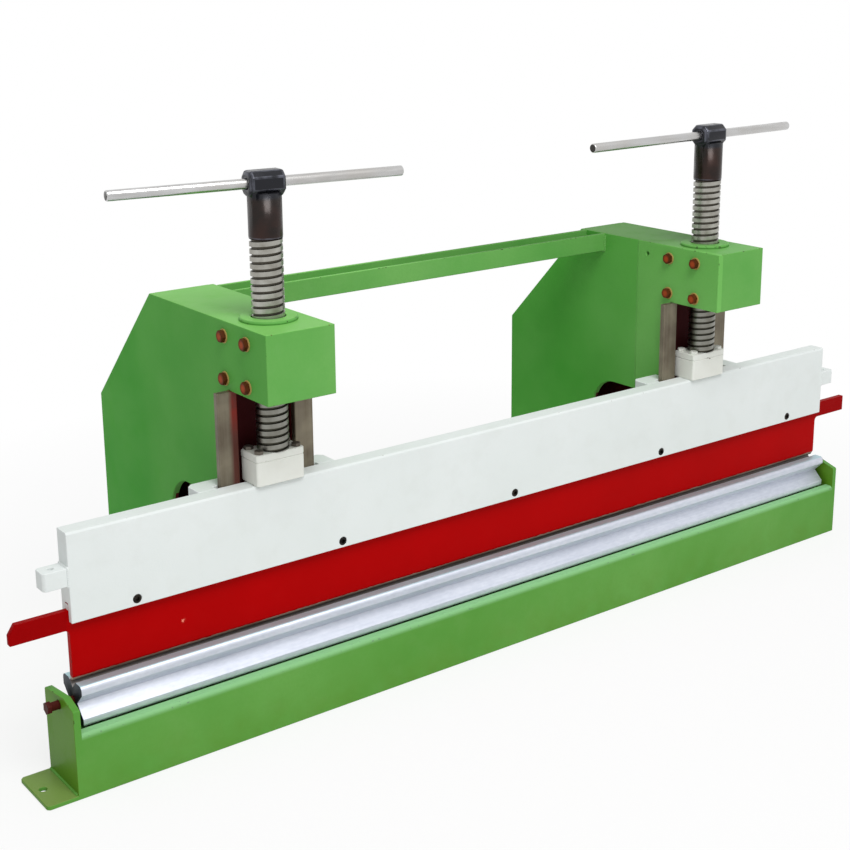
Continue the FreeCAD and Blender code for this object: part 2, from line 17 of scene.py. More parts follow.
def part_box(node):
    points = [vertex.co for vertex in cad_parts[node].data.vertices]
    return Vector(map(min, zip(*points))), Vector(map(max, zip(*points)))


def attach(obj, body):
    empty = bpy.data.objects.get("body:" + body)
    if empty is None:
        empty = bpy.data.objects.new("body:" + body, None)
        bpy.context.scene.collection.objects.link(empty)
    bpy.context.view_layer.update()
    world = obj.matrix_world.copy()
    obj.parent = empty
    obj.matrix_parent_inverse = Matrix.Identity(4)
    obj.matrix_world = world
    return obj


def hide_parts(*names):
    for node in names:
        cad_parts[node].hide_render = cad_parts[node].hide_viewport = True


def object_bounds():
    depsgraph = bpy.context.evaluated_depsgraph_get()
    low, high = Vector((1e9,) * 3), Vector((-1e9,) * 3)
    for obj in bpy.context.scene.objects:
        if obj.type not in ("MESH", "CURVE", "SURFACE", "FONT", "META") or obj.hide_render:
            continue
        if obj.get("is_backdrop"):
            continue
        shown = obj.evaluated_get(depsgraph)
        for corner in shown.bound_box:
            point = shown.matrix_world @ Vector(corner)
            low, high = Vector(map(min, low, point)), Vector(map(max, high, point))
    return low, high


MM = 0.001
SIDES = ("left", "right")
PLACES = ("outer", "inner")
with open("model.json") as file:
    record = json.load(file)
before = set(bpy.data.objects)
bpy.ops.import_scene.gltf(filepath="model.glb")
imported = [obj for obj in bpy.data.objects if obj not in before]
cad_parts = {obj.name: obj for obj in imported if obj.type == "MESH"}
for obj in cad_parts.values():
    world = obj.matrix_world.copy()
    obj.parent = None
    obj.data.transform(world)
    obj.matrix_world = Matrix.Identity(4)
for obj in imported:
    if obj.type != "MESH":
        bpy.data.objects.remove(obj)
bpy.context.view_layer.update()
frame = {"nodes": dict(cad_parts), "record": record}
nodes = frame["nodes"]
slot_of = {row["node"]: row["material_slot"] for row in frame["record"]["subparts"]}
body_of = {}
for body, names in frame["record"]["behaviour"]["bodies"].items():
    body_of.update(dict.fromkeys(names, body))

# %% [markdown]
# ## The camera
# A product photo is usually taken from a step away with a medium lens, and the place of the camera
# can be worked out from the long straight edges of the object. Here the heading, the dip and the
# roll are given as angles. Sines and cosines turn them into two directions, and a cross product
# gives the third.


# %% Camera
def add_object(name, data):
    """A new object in the scene, at the origin."""
    made = bpy.data.objects.new(name, data)
    bpy.context.scene.collection.objects.link(made)
    return made


yaw = math.radians(36.93)
pitch = math.radians(14.43)
roll = math.radians(-0.46)
camera_place = Vector((-1201.7, -1415.1, 878.4)) * MM
focal_pixels = 1480.6
frame_pixels = 850
optical_centre_y = 345

look = Vector((math.sin(yaw) * math.cos(pitch), math.cos(yaw) * math.cos(pitch), -math.sin(pitch)))
level = Vector((math.cos(yaw), -math.sin(yaw), 0))
upward = level.cross(look)
camera_right = level * math.cos(roll) + upward * math.sin(roll)
camera_up = upward * math.cos(roll) - level * math.sin(roll)
facing = Matrix((camera_right, camera_up, -look)).transposed().to_4x4()
camera = add_object("camera", bpy.data.cameras.new("camera"))
camera.matrix_world = Matrix.Translation(camera_place) @ facing
camera.data.sensor_width = 36
camera.data.lens = camera.data.sensor_width * focal_pixels / frame_pixels
camera.data.shift_y = (optical_centre_y - frame_pixels / 2) / frame_pixels
camera.data.clip_end = 50
bpy.context.scene.camera = camera
print("lens", round(camera.data.lens, 1), "mm on a", camera.data.sensor_width, "mm sensor")

# %% [markdown]
# ## Tools for finishes
# A finish is a small network of nodes. All of them read the object's own coordinates, so a pattern
# keeps its real size in metres and moves with the piece. A few helpers cover every need here: one
# adds a node, one does sums, one stretches a range of values, one makes soft patches from noise,
# and one mixes two colours.


# %% Colours and nodes
def tone(red, green, blue):
    """A colour given as on a paint chart, 0 to 255, in the linear values that shaders use."""
    parts = [value / 255 for value in (red, green, blue)]
    linear = [p / 12.92 if p <= 0.04045 else ((p + 0.055) / 1.055) ** 2.4 for p in parts]
    return (*linear, 1)


def node(tree, kind, inputs=None, **settings):
    """Adds a node. An input that is given a socket is linked to it, any other value is set."""
    made = tree.nodes.new(kind)
    for key, value in settings.items():
        setattr(made, key, value)
    for key, value in (inputs or {}).items():
        if isinstance(value, bpy.types.NodeSocket):
            tree.links.new(value, made.inputs[key])
        else:
            made.inputs[key].default_value = value
    return made


# %% Sums, ranges, patches and mixes
def maths(operation, first, *others):
    """One sum, such as ADD or ABSOLUTE, in the tree of its first value."""
    values = dict(enumerate((first, *others)))
    return node(first.id_data, "ShaderNodeMath", values, operation=operation).outputs[0]


def product(first, *others):
    for other in others:
        first = maths("MULTIPLY", first, other)
    return first


def ramp(value, low, high, start=0.0, end=1.0):
    """Start below low, end above high, and a straight line between."""
    limits = {"Value": value, "From Min": low, "From Max": high, "To Min": start, "To Max": end}
    return node(value.id_data, "ShaderNodeMapRange", limits).outputs["Result"]


def patches(place, per_metre, low, high, stretch=(1, 1, 1), detail=3.0):
    """Soft patches, about so many to a metre, as a share from 0 to 1."""
    tree = place.id_data
    spread = node(tree, "ShaderNodeMapping", {"Vector": place, "Scale": stretch}).outputs["Vector"]
    noise = node(tree, "ShaderNodeTexNoise", {"Vector": spread, "Scale": per_metre, "Detail": detail})
    return ramp(noise.outputs["Fac"], low, high)


def blend(share, first, second):
    """The first colour where share is 0, the second where it is 1."""
    colours = {0: share, 6: first, 7: second}
    return node(share.id_data, "ShaderNodeMix", colours, data_type="RGBA").outputs[2]


# %% Helpers that ask where a point lies
def along(place, axis):
    """One of the three coordinates: 0 is along the bending line, 1 to the rear, 2 up."""
    return node(place.id_data, "ShaderNodeSeparateXYZ", {"Vector": place}).outputs[axis]


def off_middle(place, axis):
    """The same coordinate without its sign, so one rule serves the left and the right."""
    return maths("ABSOLUTE", along(place, axis))


def distance(place, centre=(0, 0, 0)):
    ends = {0: place, 1: centre}
    return node(place.id_data, "ShaderNodeVectorMath", ends, operation="DISTANCE").outputs["Value"]


def marked(place, name):
    """A mark that the shaping cells leave on some faces, such as those that look sideways or up."""
    return node(place.id_data, "ShaderNodeAttribute", attribute_name=name).outputs["Fac"]


def corner_patches(place, per_metre, low, high):
    """Patches on a rounded corner: the corner's own mark, broken up by noise."""
    return product(marked(place, "corner"), patches(place, per_metre, low, high))


# %% Helpers that start and end a finish
def start_finish(name, metallic, coat=0.0, specular=0.3):
    """A new material, with the values that are the same all over, and the object's coordinates."""
    material = bpy.data.materials.new(name)
    material.use_nodes = True
    tree = material.node_tree
    even = {"Metallic": metallic, "Specular IOR Level": specular, "Coat Weight": coat,
            "Coat Roughness": 0.2}
    for key, value in even.items():
        tree.nodes["Principled BSDF"].inputs[key].default_value = value
    return material, node(tree, "ShaderNodeTexCoord").outputs["Object"]


def link(socket, name):
    """Links a socket to the shader's input of that name."""
    tree = socket.id_data
    tree.links.new(socket, tree.nodes["Principled BSDF"].inputs[name])


def wire(colour, rough, height, depth):
    """Links a colour, a roughness and a relief of so many metres to the shader."""
    bump = node(height.id_data, "ShaderNodeBump", {"Height": height, "Distance": depth})
    link(colour, "Base Color")
    link(rough, "Roughness")
    link(bump.outputs["Normal"], "Normal")


# %% [markdown]
# ## Enamel
# The frames, the bed, the ram and the blade are sprayed with machine enamel. Real enamel is never
# one even colour: it lies thicker in some places, dust dulls it, and its skin has the fine dimples
# called orange peel. Corners lose it first. One function makes all these paints, and only the
# tones, the gloss and the number of chips differ.

# %% How enamel is laid
peel_depth = 0.06 * MM
film_strength = 0.22


def clouded(place, deep, pale):
    """Two tones of one paint, in clouds as wide as a hand."""
    return blend(patches(place, 7, 0.3, 0.7), deep, pale)


def add_enamel(place, pale, deep, dust, rubbed_and_lit, dull=0.42, chips=0.64):
    """Gives back the colour and the roughness of enamel. Lower chips means more of them."""
    mottle = patches(place, 210, 0.3, 0.75, detail=4.0)
    base = blend(product(mottle, 0.22), clouded(place, deep, pale), deep)
    film = product(patches(place, 40, 0.5, 0.85, detail=6.0), film_strength)
    colour = blend(film, base, dust)
    # Corners turn paler, both from thin paint and as a painted highlight along the edges.
    thin_and_highlit = corner_patches(place, 60, 0.3, 0.7)
    colour = blend(product(thin_and_highlit, 0.5), colour, pale)
    colour = blend(corner_patches(place, 170, chips, chips + 0.02), colour, rubbed_and_lit)
    return colour, ramp(film, 0.0, film_strength, dull, dull + 0.15)


def wire_paint(place, colour, rough, depth=peel_depth):
    """Wires a paint with its orange peel."""
    wire(colour, rough, patches(place, 420, 0.2, 0.8, detail=1.0), depth)


def enamel(name, pale, deep, dust, rubbed_and_lit, **gloss):
    material, place = start_finish(name, 0.0, specular=0.1)
    wire_paint(place, *add_enamel(place, pale, deep, dust, rubbed_and_lit, **gloss))
    return material


# %% Whites and primers
dark_iron = tone(58, 50, 44)
white_enamel = enamel("white_enamel", tone(232, 237, 236), tone(226, 232, 230), tone(210, 214, 208),
                      tone(150, 146, 138), chips=0.7)
cream_enamel = enamel("cream_enamel", tone(236, 238, 232), tone(228, 230, 222), tone(204, 202, 190),
                      tone(120, 114, 102), chips=0.68)
maroon_primer = enamel("maroon_primer", tone(88, 30, 32), tone(70, 22, 26), tone(96, 52, 48),
                       dark_iron, dull=0.6)
pivot_primer = enamel("pivot_primer", tone(112, 44, 32), tone(70, 24, 20), tone(100, 60, 48),
                      dark_iron, dull=0.5)
washer_paint = enamel("washer_paint", tone(186, 150, 84), tone(166, 146, 84), tone(176, 160, 110),
                      dark_iron)
paints = (white_enamel, cream_enamel, maroon_primer, pivot_primer, washer_paint)
print("paints:", [paint.name for paint in paints])

# %% [markdown]
# The large bolt heads are dark brown primer, with a painted highlight in orange in their middle.
# The cell that shapes the heads leaves a mark on the middle, which is read here.


# %% Primer of the large bolts
def bolt_finish():
    material, place = start_finish("bolt_primer", 0.0, specular=0.1)
    colour, rough = add_enamel(place, tone(98, 46, 16), tone(66, 32, 10), tone(104, 64, 36),
                               tone(84, 48, 28), dull=0.5)
    # The orange middle of each head is a painted highlight.
    colour = blend(product(marked(place, "middle"), 0.8), colour, tone(176, 74, 32))
    wire_paint(place, colour, rough)
    return material


bolt_primer = bolt_finish()
print("primer of the bolts:", bolt_primer.name)

# %% [markdown]
# ## Green
# The tops of the left parts get painted light, and the tops on the right get painted shade towards
# the rear. The mark "upward" finds the tops, and the place along the machine chooses between the
# two.

# %% Green enamel
green_pale = tone(114, 176, 92)
green_deep = tone(92, 163, 76)
green_dust = tone(120, 176, 104)
green_lit = tone(131, 200, 102)
green_top_shade = tone(78, 132, 56)
middle_belt = (-100 * MM, 100 * MM)
top_shade_rear = (-40 * MM, 60 * MM)


def lit_and_shaded_tops(place, colour):
    """Faces that look up: on the left painted lighter as lit, on the right painted shade towards the
    rear.
    """
    up = marked(place, "upward")
    right = ramp(along(place, 0), *middle_belt)
    # Painted light on the left tops, painted shade on the right tops towards the rear.
    light = product(up, ramp(right, 0, 1, 0.7, 0.1))
    top_shade = product(up, right, ramp(along(place, 1), *top_shade_rear, 0.0, 0.9))
    return blend(top_shade, blend(light, colour, green_lit), green_top_shade)


def green_finish():
    material, place = start_finish("green_enamel", 0.0, specular=0.05)
    colour, rough = add_enamel(place, green_pale, green_deep, green_dust, dark_iron)
    wire_paint(place, lit_and_shaded_tops(place, colour), rough)
    return material


green_enamel = green_finish()
# The darker right tops printed below are painted shade.
print("tops turn grimy from", round(top_shade_rear[0] / MM), "to", round(top_shade_rear[1] / MM), "mm")

# %% [markdown]
# The faces of the frames' side plates that look sideways get painted shade, a deeper green that
# grows slowly towards the rear. The inner plate of the right frame has paler tones, and in front of a
# seam most of its painted shade is left out, so the shade ends at a line. Inside the column all
# plates have maroon primer, which also runs round the front corner of the recess.

# %% Enamel of the side plates
front_low, front_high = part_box("right_head_front_plate")
frame_middle = (front_low.x + front_high.x) / 2
primed_reach = front_high.x - frame_middle + 1 * MM
primed_front = primed_reach + 3 * MM
primed_inside = tone(88, 28, 30)
primer_edge = 0.2 * MM
side_shade_growth = (60 * MM, 260 * MM)
side_shade_line = (84 * MM, 90 * MM)


def primer_shares(place):
    """Where the primer shows: on what looks into the column, and round the recess's front corner."""
    aside = maths("ABSOLUTE", maths("SUBTRACT", off_middle(place, 0), frame_middle))
    inside = ramp(aside, primed_reach, primed_reach + primer_edge, 1.0, 0.0)
    reached = maths("MAXIMUM", marked(place, "sideways"), marked(place, "corner"))
    front = ramp(aside, primed_front, primed_front + primer_edge, 1.0, 0.0)
    below = ramp(along(place, 2), front_low.z - 1 * MM, front_low.z, 1.0, 0.0)
    return product(inside, reached), product(front, below, marked(place, "forward"))


def frame_finish(name, pale, deep, least, shade_left_out):
    """Least is the painted side shade's share at the front, shade_left_out how much of it is left out
    in front of the seam.
    """
    material, place = start_finish(name, 0.0, specular=0.04)
    colour, rough = add_enamel(place, pale, deep, green_dust, dark_iron)
    rearward = along(place, 1)
    side_shade_share = product(ramp(rearward, *side_shade_growth, least, 0.85),
                    ramp(rearward, *side_shade_line, 1.0 - shade_left_out, 1.0))
    # The deeper green laid on sideways faces below is painted shade.
    thick = clouded(place, tone(62, 160, 46), tone(84, 172, 66))
    colour = blend(product(marked(place, "sideways"), side_shade_share), colour, thick)
    colour = lit_and_shaded_tops(place, colour)
    for share in primer_shares(place):
        colour = blend(share, colour, primed_inside)
    wire_paint(place, colour, rough)
    return material


frame_enamel = frame_finish("frame_enamel", green_pale, green_deep, 0.35, 0.0)
paler_frame_enamel = frame_finish("paler_frame_enamel_less_shade", tone(124, 190, 102), tone(108, 180, 86),
                                0.4, 0.8)
# The line printed below is where the painted side shade ends in front of the seam.
print("the paler coat ends", [round(v / MM) for v in side_shade_line], "mm behind the bending line")

# %% [markdown]
# The bed is brushed by hands, sheets and floor dirt. Its green has gone deeper and yellower low
# down. Its top edge carries a pale band of painted light, and its faces that look sideways get
# painted shade. The height of a point chooses the tone.

# %% Enamel of the bed
bed_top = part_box("bed_front_plate")[1].z
foot_top = 5 * MM
lit_band = (bed_top - 7 * MM, bed_top - 1 * MM)


def bed_finish(name, rubbed_and_lit):
    material, place = start_finish(name, 0.0, specular=0.1)
    colour, rough = add_enamel(place, tone(104, 164, 76), tone(86, 151, 58), tone(118, 162, 92),
                               dark_iron)
    height = along(place, 2)
    low_half = ramp(height, 0.0, 0.8 * bed_top, 0.7, 0.0)
    dirt = product(low_half, patches(place, 30, 0.25, 0.75))
    colour = blend(dirt, colour, tone(92, 142, 48))
    # Faces that look sideways get painted shade, a darker yellow green.
    colour = blend(product(marked(place, "sideways"), 0.9), colour, tone(88, 134, 28))
    on_foot = product(marked(place, "upward"), ramp(height, foot_top, 2 * foot_top, 0.9, 0.0))
    colour = blend(on_foot, colour, tone(120, 146, 74))
    # The pale band along the top edge is painted light.
    edge = product(ramp(height, *lit_band), rubbed_and_lit)
    wire_paint(place, blend(edge, colour, tone(150, 206, 150)), rough)
    return material


bed_enamel = bed_finish("bed_enamel", 0.0)
bed_enamel_with_lit_band = bed_finish("bed_enamel_with_lit_band", 0.75)
# The height printed below is where the painted light band along the top edge begins.
print("the bed's paint turns pale near", round(bed_top / MM), "mm")

# %% [markdown]
# ## The blade's two finishes
# The punch blade is red enamel down to a line on its bevel. Below it the tip is bare, because paint
# there would rub off on the sheet. The line could be a second material on its own faces, but a
# painted line wanders a little, so the height of each point, shaken by noise, chooses the finish.
# The ears that stand out past the ram have darkened, one small chip shows the pale primer, and the
# ends of the blade inside the ram took some of the ram's white paint.

# %% Measures on the blade
blade_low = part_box("punch_blade")[0]
ram_low, ram_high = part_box("ram_plate")
paint_line = blade_low.z + 4.6 * MM
line_shake = 1.2 * MM
tip_shade = 2.6 * MM
ear_top = ram_low.z + 13 * MM
chip_place = Vector((-489 * MM, blade_low.y, 156 * MM))
chip_size = 3.4 * MM
print("paint ends", round((paint_line - blade_low.z) / MM, 1), "mm above the blade's tip")


# %% Red enamel with a bare tip
def bare_tip(place):
    """Brownish steel in streaks along the blade, darkest at the very tip."""
    streaks = patches(place, 60, 0.4, 0.7, (0.2, 1, 1))
    bare = blend(streaks, tone(196, 176, 158), tone(156, 132, 114))
    shade = ramp(along(place, 2), blade_low.z, blade_low.z + tip_shade, 1.0, 0.0)
    return blend(shade, bare, tone(70, 58, 52))


def chip_share(place):
    """One chip with a ragged rim."""
    rag = product(patches(place, 900, 0.3, 0.7), chip_size)
    ragged = maths("ADD", distance(place, chip_place), rag)
    return ramp(ragged, 0.8 * chip_size, 1.2 * chip_size, 1.0, 0.0)


def blade_finish():
    material, place = start_finish("red_enamel_bare_tip", 0.0, specular=0.03)
    colour, rough = add_enamel(place, tone(178, 0, 2), tone(168, 0, 1), tone(176, 12, 12),
                               tone(90, 20, 18), dull=0.4)
    past_ram = ramp(off_middle(place, 0), ram_high.x, ram_high.x + 4 * MM)
    colour = blend(past_ram, colour, tone(150, 0, 2))
    colour = blend(chip_share(place), colour, tone(236, 130, 110))
    height = along(place, 2)
    shake = product(patches(place, 120, 0.3, 0.7), line_shake)
    painted = ramp(maths("ADD", height, shake), paint_line, paint_line + 0.6 * MM)
    colour = blend(painted, bare_tip(place), colour)
    in_ram = product(ramp(height, ear_top, ear_top + 0.5 * MM), marked(place, "sideways"))
    colour = blend(in_ram, colour, tone(226, 232, 230))
    link(ramp(painted, 0, 1, 0.3, 0.0), "Metallic")
    wire_paint(place, colour, rough, 0.04 * MM)
    return material


red_enamel = blade_finish()
print("the chip is", round(chip_size / MM, 1), "mm wide")

# %% [markdown]
# ## Bare and blackened steel
# Bare steel shows how it was made. A drawn bar and a milled die carry fine lines along their
# length, a turned screw carries rings, and a guide strip is ground and then browned by hands and
# oil. All of them are noise stretched in one direction, which colours the metal, roughens it and
# raises its relief.

# %% Steel
line_depth = 0.03 * MM
along_line = (0.02, 1, 1)
upright = (1, 1, 0.02)
every_way = (1, 1, 1)


def steel(name, pale, dark, stretch, rough, stain):
    """Metal with fine lines; stretch is small along the lines and 1 across them."""
    material, place = start_finish(name, 1.0)
    grain = patches(place, 260, 0.25, 0.75, stretch, 2.0)
    cloud = patches(place, 16, 0.42, 0.7, detail=5.0)
    colour = blend(product(cloud, 0.6), blend(grain, dark, pale), stain)
    colour = blend(marked(place, "sideways"), colour, tone(66, 64, 62))
    wire(colour, ramp(cloud, 0.0, 1.0, rough, rough + 0.15), grain, line_depth)
    return material


drawn_steel = steel("drawn_steel", tone(208, 208, 208), tone(184, 184, 184), along_line, 0.2,
                    tone(176, 172, 166))
black_bolt = steel("black_bolt", tone(52, 50, 48), tone(30, 29, 28), every_way, 0.4, tone(70, 58, 46))
dull_bolt = steel("dull_bolt", tone(104, 98, 90), tone(78, 72, 66), every_way, 0.5,
                  tone(150, 144, 134))
bronze = steel("bronze", tone(176, 130, 74), tone(150, 106, 58), upright, 0.3, tone(96, 64, 36))
print("metals:", [m.name for m in (drawn_steel, black_bolt, dull_bolt, bronze)])

# %% [markdown]
# ## The die's steel
# The four-sided die is milled from the bar, so its long faces carry fine lines from end to end. Its
# two ends get painted shade, and so does the groove in which the blade stands. The crowns between the
# grooves are painted bluish, which offsets the red blade's reflection in them. Where a point lies
# chooses among them.

# %% Milled die with painted shade on its ends
die_low, die_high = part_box("die")
groove_half = 7.4 * MM
groove_bottom = (die_high.z - 14 * MM, die_high.z - 12 * MM)
crown = (die_high.z - 1.2 * MM, die_high.z - 0.4 * MM)
shaded_ends = (die_high.x - 0.5 * MM, die_high.x - 0.2 * MM)


def die_finish():
    material, place = start_finish("milled_steel", 0.85)
    grain = patches(place, 340, 0.2, 0.8, along_line, 2.0)
    cloud = patches(place, 12, 0.4, 0.7, (0.5, 1, 1), 5.0)
    speckle = patches(place, 260, 0.3, 0.7, (0.4, 1, 1), 4.0)
    colour = blend(grain, tone(210, 215, 226), tone(224, 227, 236))
    colour = blend(product(cloud, 0.3), colour, tone(182, 186, 198))
    colour = blend(product(speckle, 0.3), colour, tone(176, 182, 196))
    height = along(place, 2)
    aside = off_middle(place, 1)
    inside = ramp(aside, groove_half - 0.8 * MM, groove_half + 0.4 * MM, 1.0, 0.0)
    painted_groove_shade = product(inside, ramp(height, *groove_bottom))
    # The groove in which the blade stands is painted shade.
    colour = blend(painted_groove_shade, colour, tone(104, 100, 98))
    # The bluish crowns offset the red blade's reflection in them.
    colour = blend(product(ramp(height, *crown), 0.8), colour, tone(178, 214, 220))
    # The two ends are painted shade.
    colour = blend(ramp(off_middle(place, 0), *shaded_ends), colour, tone(62, 66, 74))
    wire(colour, ramp(cloud, 0, 1, 0.54, 0.66), grain, line_depth)
    return material


milled_steel = die_finish()
print("die from", round(die_low.x / MM), "to", round(die_high.x / MM), "mm")

# %% [markdown]
# ## The screws' steel
# A working screw is bright where the nut rubs it, on the crests of its thread, and dark with old
# grease in its grooves. The distance from the screw's axis tells crest from groove. Both screws
# stand at the same distance from the middle, so the absolute value of x serves them both.

# %% Bright crests and greasy grooves
screw_low, screw_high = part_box("right_screw")
screw_axis = (screw_low.x + screw_high.x) / 2
screw_radius = (screw_high.x - screw_low.x) / 2
groove_depth = 2.5 * MM
crest_from = (screw_radius - 0.8 * groove_depth, screw_radius - 0.1 * groove_depth)
head_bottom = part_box("right_head_front_plate")[0].z


def screw_finish():
    material, place = start_finish("screw_steel", 1.0)
    across = maths("SUBTRACT", off_middle(place, 0), screw_axis)
    spot = node(place.id_data, "ShaderNodeCombineXYZ", {"X": across, "Y": along(place, 1)})
    crest = ramp(distance(spot.outputs["Vector"]), *crest_from)
    cloud = patches(place, 60, 0.35, 0.7, detail=5.0)
    bright = blend(cloud, tone(178, 177, 170), tone(140, 137, 128))
    colour = blend(crest, tone(84, 80, 72), bright)
    # Under the head the thread gets painted shade.
    shade_under_head = ramp(along(place, 2), head_bottom - 8 * MM, head_bottom, 0.4, 0.0)
    colour = blend(shade_under_head, colour, tone(62, 66, 52))
    rings = patches(place, 500, 0.3, 0.7, (0.2, 0.2, 1), 2.0)
    wire(colour, ramp(crest, 0, 1, 0.5, 0.36), rings, line_depth)
    return material


screw_steel = screw_finish()
print("screw axes at", round(screw_axis / MM), "mm, radius", round(screw_radius / MM, 1), "mm")

# %% [markdown]
# ## The blackened hubs
# The hubs were heated and dipped in oil, which leaves a black skin, brown on the shank where it is
# thin. Handling has polished the corners of the cross boss back to dark grey steel, and their bluish
# grey is also a painted highlight along the boss's edges.

# %% Blackened steel
boss_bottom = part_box("left_hub")[1].z - 29 * MM


def hub_finish():
    material, place = start_finish("blackened_steel", 0.5, 0.15)
    cloud = patches(place, 34, 0.38, 0.68, detail=5.0)
    shank = ramp(along(place, 2), boss_bottom - 4 * MM, boss_bottom, 1.0, 0.0)
    brown_skin = blend(cloud, tone(30, 22, 19), tone(50, 30, 24))
    colour = blend(shank, tone(26, 27, 33), brown_skin)
    # The lighter corners are partly polish and partly a painted highlight.
    polished_and_highlit = product(corner_patches(place, 90, 0.3, 0.6), 0.5)
    colour = blend(polished_and_highlit, colour, tone(110, 112, 124))
    pits = patches(place, 300, 0.2, 0.8)
    wire(colour, ramp(cloud, 0, 1, 0.26, 0.45), pits, 0.05 * MM)
    return material


black_steel = hub_finish()
print("the boss starts at", round(boss_bottom / MM), "mm")

# %% [markdown]
# ## The guide strips
# The keepers slide behind four flat strips of bare, ground steel gone brown. On the left frame
# orange primer still shows along the inner part of the outer strip, and darkens further down.

# %% Ground strips
strip_low, strip_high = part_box("left_outer_guide_bar")
primer_from = strip_low.x + 0.62 * (strip_high.x - strip_low.x)
primer_fades = (strip_high.z - 60 * MM, strip_high.z - 20 * MM)


def strip_finish(name, primed):
    material, place = start_finish(name, 0.0 if primed else 0.6)
    grain = patches(place, 260, 0.25, 0.75, upright, 2.0)
    browned = patches(place, 30, 0.35, 0.7, detail=5.0)
    colour = blend(browned, tone(126, 118, 100), tone(88, 78, 64))
    colour = blend(product(grain, 0.3), colour, tone(160, 152, 136))
    if primed:
        shade = ramp(along(place, 2), *primer_fades)
        shade = product(shade, patches(place, 40, 0.2, 0.6))
        primer = blend(shade, tone(84, 40, 30), tone(138, 30, 14))
        edge = ramp(along(place, 0), primer_from - 2 * MM, primer_from + 3 * MM)
        colour = blend(edge, colour, primer)
        link(ramp(edge, 0, 1, 0.6, 0.0), "Metallic")
    wire(colour, ramp(grain, 0, 1, 0.4, 0.5), grain, line_depth)
    return material


ground_strip = strip_finish("ground_strip", False)
primed_strip = strip_finish("ground_strip_with_primer", True)
print("primer starts", round((primer_from - strip_low.x) / MM, 1), "mm in from the outer edge")

# %% [markdown]
# ## Rounded corners
# Flame-cut plates and sawn bars are never razor sharp: the maker breaks each corner with a file.
# The CAD pieces have sharp corners, so each one gets a copy with a narrow bevel that stands in for
# it. The bevel could be left live, but as plain mesh its faces can be marked, and the paints read
# that mark to show wear. The copy's loose triangles are merged first, or the bevel would find no
# corners.


# %% Pieces that stand for CAD pieces
def plain_mesh(piece, name):
    """The piece with its modifiers worked in, as a new object; the old one is removed."""
    bpy.context.view_layer.update()
    evaluated = piece.evaluated_get(bpy.context.evaluated_depsgraph_get())
    made = add_object(name, bpy.data.meshes.new_from_object(evaluated))
    bpy.data.objects.remove(piece)
    return made


def stand_for(piece, name):
    """The piece takes the place of a CAD node, on the same body."""
    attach(piece, body_of[name])
    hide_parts(name)


# %% Which edges are rounded
sharp_from = 35
same_place = 0.01 * MM


def merged_copy(name, joints, keep):
    """The CAD mesh, merged, with its sharp edges marked for the bevel.

    Edges in the plane of a joint, and those with an end where keep says no, are left out.
    """
    mesh = nodes[name].data.copy()
    work = bmesh.new()
    work.from_mesh(mesh)
    bmesh.ops.remove_doubles(work, verts=work.verts, dist=0.002 * MM)
    bmesh.ops.dissolve_limit(work, angle_limit=math.radians(0.5), verts=work.verts, edges=work.edges)
    weight = work.edges.layers.float.new("bevel_weight_edge")
    for edge in work.edges:
        ends = [v.co for v in edge.verts]
        welded = any(all(abs(end[axis] - at) < same_place for end in ends) for axis, at in joints)
        sharp = math.degrees(edge.calc_face_angle(0.0)) > sharp_from
        edge[weight] = float(sharp and not welded and all(keep(end) for end in ends))
        edge.smooth = not (sharp and welded)
    work.to_mesh(mesh)
    work.free()
    return mesh


def anywhere(point):
    return True


def on_outline(name):
    """A test for points on two sides of the piece's box at once, so not on the rims of its holes."""
    low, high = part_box(name)

    def test(point):
        near = [min(abs(point[k] - low[k]), abs(point[k] - high[k])) < same_place for k in range(3)]
        return sum(near) > 1

    return test


# %% Marks on faces, and flat sides
def mark_faces(mesh, name, test):
    """Writes 1 on the faces that pass the test, 0 on the others, and gives back how many passed."""
    mark = mesh.attributes.new(name, "FLOAT", "CORNER")
    passed = [face for face in mesh.polygons if test(face)]
    for face in passed:
        for loop in face.loop_indices:
            mark.data[loop].value = 1.0
    return len(passed)


large_side = 200 * MM * MM
squareness = 0.9999


def flatten_plates(mesh):
    """Shades each large side square to an axis dead flat, with the slivers between its holes."""
    normals = [tuple(corner.vector) for corner in mesh.corner_normals]
    square = []
    large = set()
    for face in mesh.polygons:
        if max(abs(value) for value in face.normal) > squareness:
            facing = tuple(round(value) for value in face.normal)
            plane = (facing, round(face.center.dot(Vector(facing)) / same_place))
            square.append((face, plane))
            if face.area > large_side:
                large.add(plane)
    for face, plane in square:
        if plane in large:
            for loop in face.loop_indices:
                normals[loop] = plane[0]
    mesh.normals_split_custom_set(normals)


# %% A rounded copy of a CAD piece
looks_that_way = 0.9
plate_round = 0.9 * MM
fine_round = 0.5 * MM


def rounded(name, finish, radius=plate_round, segments=2, joints=(), keep=anywhere, flat=True):
    """Replaces a CAD piece with a rounded copy. What is welded and ground flush isn't rounded."""
    mesh = merged_copy(name, joints, keep)
    mesh.materials.clear()
    mesh.materials.append(finish)
    mesh.materials.append(finish)
    mesh.shade_smooth()
    work = add_object(name + "_work", mesh)
    bevel = work.modifiers.new("rounded corners", "BEVEL")
    bevel.width = radius
    bevel.segments = segments
    bevel.limit_method = "WEIGHT"
    bevel.use_clamp_overlap = False
    bevel.loop_slide = False
    bevel.material = 1
    bevel.harden_normals = True
    made = plain_mesh(work, name + "_dressed")
    mesh = made.data
    corners = mark_faces(mesh, "corner", lambda face: face.material_index == 1)
    for face in mesh.polygons:
        face.material_index = 0
    mesh.materials.pop(index=1)
    mark_faces(mesh, "sideways", lambda face: abs(face.normal.x) > looks_that_way)
    mark_faces(mesh, "forward", lambda face: face.normal.y < -looks_that_way)
    mark_faces(mesh, "upward", lambda face: face.normal.z > looks_that_way)
    if flat:
        flatten_plates(mesh)
    stand_for(made, name)
    return corners


